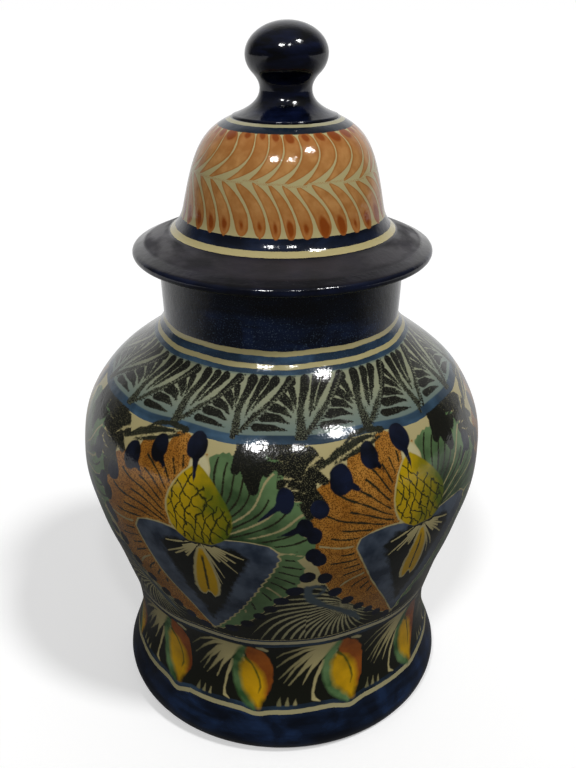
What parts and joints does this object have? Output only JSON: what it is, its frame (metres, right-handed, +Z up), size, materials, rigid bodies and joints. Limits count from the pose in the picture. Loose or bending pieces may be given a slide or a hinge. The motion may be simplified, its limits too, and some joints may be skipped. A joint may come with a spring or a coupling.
{
  "type": "lidded jar",
  "caption": "Painted glazed earthenware jar with a rolled foot, round belly and short neck, and a loose bell-shaped lid with a wide brim and a ball knob.",
  "frame": {"origin": "centre of the ring that the jar stands on, on the surface it stands on", "axes": "+Z up along the axis that the jar was turned about; the jar looks alike from every side, and -Y is its front"},
  "size_m": [0.2022, 0.2022, 0.34],
  "materials": {
    "jar_glaze": "glossy painted tin glaze",
    "lid_glaze": "glossy painted tin glaze",
    "knob_glaze": "glossy cobalt glaze"
  },
  "bodies": {
    "jar": {"jar_body": "jar_glaze"},
    "lid": {"lid_shell": "lid_glaze", "lid_knob": "knob_glaze"}
  },
  "joints": [
    {"name": "lid_lift", "type": "slide", "parent": "jar", "child": "lid", "axis": [0, 0, 1], "range_m": [0, 0.16]}
  ]
}
